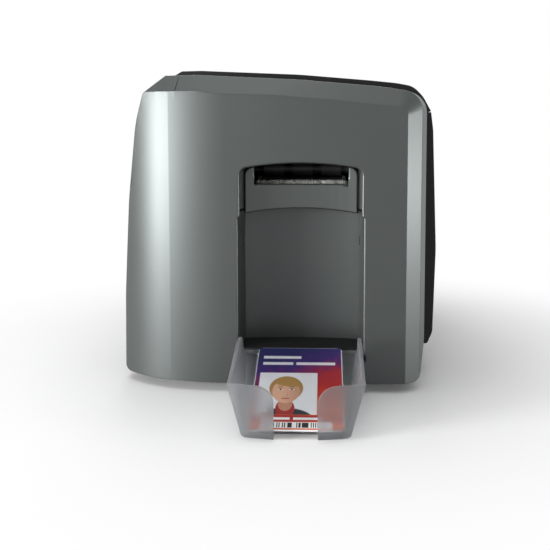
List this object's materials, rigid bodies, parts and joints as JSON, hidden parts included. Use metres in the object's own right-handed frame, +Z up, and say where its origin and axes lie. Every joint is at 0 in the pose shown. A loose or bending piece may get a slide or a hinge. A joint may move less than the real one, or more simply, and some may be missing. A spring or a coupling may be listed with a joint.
{
  "type": "id card printer",
  "caption": "Desktop card printer with silver end caps, a black hinged cover, an arched output recess and a frosted hopper that holds a printed card.",
  "frame": {"origin": "on the table, under the centre of the whole printer with its hopper", "axes": "+X toward the input end, -X toward the output hopper, -Y the front, +Z up"},
  "size_m": [0.4393, 0.2176, 0.2144],
  "materials": {
    "silver_paint": "satin metallic paint",
    "black_shell": "fine satin texture",
    "dark_shell": "fine matte texture",
    "foot_rubber": "matte",
    "bright_steel": "turned",
    "plated_steel": "zinc plated",
    "brush_fibre": "fine bristles",
    "frosted_plastic": "frosted translucent",
    "card_face": "printed and laminated",
    "bush_bronze": "sintered",
    "roller_rubber": "ground rubber",
    "pinch_plastic": "smooth",
    "cleaning_sleeve": "tacky sleeve",
    "belt_rubber": "matte",
    "motor_body": "satin",
    "spool_plastic": "moulded",
    "ribbon_film": "glossy dye film",
    "head_metal": "extruded heat sink",
    "pusher_plastic": "moulded",
    "board_green": "solder mask",
    "socket_black": "moulded",
    "button_grey": "satin",
    "lamp_clear": "clear light pipe"
  },
  "bodies": {
    "case": {"output_end_cap": "silver_paint", "input_end_cap": "silver_paint", "base_pan": "dark_shell", "feet": "foot_rubber", "front_panel": "black_shell", "rear_panel": "dark_shell", "hinge_pins": "bright_steel", "card_exit_panel": "silver_paint", "exit_brush": "brush_fibre", "recess_floor_plate": "black_shell", "chassis_front_plate": "plated_steel", "chassis_rear_plate": "plated_steel", "card_guide": "black_shell", "roller_bushes": "bush_bronze", "drive_belt": "belt_rubber", "drive_motor": "motor_body", "ribbon_web": "ribbon_film", "ribbon_motor": "motor_body", "input_magazine": "black_shell", "door_pins": "bright_steel", "main_board": "board_green", "power_inlet": "socket_black", "usb_socket": "plated_steel", "button_board": "board_green", "status_lamp": "lamp_clear", "case_screws": "bright_steel", "chassis_screws": "bright_steel"},
    "cover": {"top_cover": "black_shell", "head_carrier": "plated_steel", "head_springs": "bright_steel"},
    "head": {"printhead": "head_metal"},
    "hopper": {"output_hopper": "frosted_plastic", "printed_card": "card_face"},
    "exit_drive": {"exit_roller": "roller_rubber"},
    "transfer_drive": {"transfer_roller": "roller_rubber"},
    "platen": {"platen_roller": "roller_rubber"},
    "transport_drive": {"transport_roller": "roller_rubber"},
    "feed_drive": {"feed_roller": "roller_rubber"},
    "exit_pinch": {"exit_pinch_roller": "pinch_plastic"},
    "transfer_pinch": {"transfer_pinch_roller": "pinch_plastic"},
    "cleaner": {"cleaning_roller": "cleaning_sleeve"},
    "motor_shaft": {"motor_pulley": "bright_steel"},
    "supply": {"supply_spool": "spool_plastic", "supply_film": "ribbon_film"},
    "takeup": {"takeup_spool": "spool_plastic", "takeup_film": "ribbon_film"},
    "pinion": {"ribbon_pinion": "bush_bronze"},
    "pusher": {"card_pusher": "pusher_plastic"},
    "door": {"input_door": "silver_paint"},
    "power": {"power_button": "button_grey"},
    "pause": {"pause_button": "button_grey"}
  },
  "joints": [
    {"name": "cover_hinge", "type": "hinge", "parent": "case", "child": "cover", "pos_m": [0.04466, 0.0703, 0.201], "axis": [-1, 0, 0], "range_deg": [0, 75]},
    {"name": "head_tilt", "type": "hinge", "parent": "cover", "child": "head", "pos_m": [0.04066, -0.0144, 0.17], "axis": [1, 0, 0], "range_deg": [-1.5, 1.5], "stiffness_Nm_per_rad": 2},
    {"name": "hopper_slide", "type": "slide", "parent": "case", "child": "hopper", "axis": [-1, 0, 0], "range_m": [0, 0.06]},
    {"name": "input_door_hinge", "type": "hinge", "parent": "case", "child": "door", "pos_m": [0.21496, -0.0144, 0.1335], "axis": [0, 1, 0], "range_deg": [0, 80]},
    {"name": "card_pusher_slide", "type": "slide", "parent": "case", "child": "pusher", "axis": [0, 0, 1], "range_m": [0, 0.03]},
    {"name": "power_button_press", "type": "slide", "parent": "case", "child": "power", "axis": [0, 1, 0], "range_m": [0, 0.0015], "stiffness_N_per_m": 400, "springref_m": -0.001},
    {"name": "pause_button_press", "type": "slide", "parent": "case", "child": "pause", "axis": [0, 1, 0], "range_m": [0, 0.0015], "stiffness_N_per_m": 400, "springref_m": -0.001},
    {"name": "motor_spin", "type": "hinge", "parent": "case", "child": "motor_shaft", "pos_m": [0.03066, -0.0144, 0.075], "axis": [0, 1, 0], "continuous": true},
    {"name": "exit_roller_spin", "type": "hinge", "parent": "case", "child": "exit_drive", "pos_m": [-0.07934, -0.0144, 0.134], "axis": [0, 1, 0], "continuous": true},
    {"name": "transfer_roller_spin", "type": "hinge", "parent": "case", "child": "transfer_drive", "pos_m": [-0.01734, -0.0144, 0.134], "axis": [0, 1, 0], "continuous": true},
    {"name": "platen_spin", "type": "hinge", "parent": "case", "child": "platen", "pos_m": [0.04066, -0.0144, 0.134], "axis": [0, 1, 0], "continuous": true},
    {"name": "transport_roller_spin", "type": "hinge", "parent": "case", "child": "transport_drive", "pos_m": [0.09566, -0.0144, 0.134], "axis": [0, 1, 0], "continuous": true},
    {"name": "feed_roller_spin", "type": "hinge", "parent": "case", "child": "feed_drive", "pos_m": [0.13766, -0.0144, 0.134], "axis": [0, 1, 0], "continuous": true},
    {"name": "exit_pinch_spin", "type": "hinge", "parent": "case", "child": "exit_pinch", "pos_m": [-0.07934, -0.0144, 0.14586], "axis": [0, 1, 0], "continuous": true},
    {"name": "transfer_pinch_spin", "type": "hinge", "parent": "case", "child": "transfer_pinch", "pos_m": [-0.01734, -0.0144, 0.14586], "axis": [0, 1, 0], "continuous": true},
    {"name": "cleaning_roller_spin", "type": "hinge", "parent": "case", "child": "cleaner", "pos_m": [0.09566, -0.0144, 0.14686], "axis": [0, 1, 0], "continuous": true},
    {"name": "supply_spool_spin", "type": "hinge", "parent": "case", "child": "supply", "pos_m": [0.07566, -0.0144, 0.175], "axis": [0, 1, 0], "continuous": true},
    {"name": "takeup_spool_spin", "type": "hinge", "parent": "case", "child": "takeup", "pos_m": [0.00566, -0.0144, 0.175], "axis": [0, 1, 0], "continuous": true},
    {"name": "ribbon_pinion_spin", "type": "hinge", "parent": "case", "child": "pinion", "pos_m": [-0.01654, -0.0144, 0.175], "axis": [0, 1, 0], "continuous": true}
  ],
  "couplings": [
    {"joint": "motor_spin", "follows": "platen_spin", "ratio": 1},
    {"joint": "exit_roller_spin", "follows": "platen_spin", "ratio": 1},
    {"joint": "transfer_roller_spin", "follows": "platen_spin", "ratio": 1},
    {"joint": "transport_roller_spin", "follows": "platen_spin", "ratio": 1},
    {"joint": "feed_roller_spin", "follows": "platen_spin", "ratio": 1},
    {"joint": "exit_pinch_spin", "follows": "platen_spin", "ratio": -1.2},
    {"joint": "transfer_pinch_spin", "follows": "platen_spin", "ratio": -1.2},
    {"joint": "cleaning_roller_spin", "follows": "platen_spin", "ratio": -1},
    {"joint": "ribbon_pinion_spin", "follows": "takeup_spool_spin", "ratio": -2.6667}
  ]
}
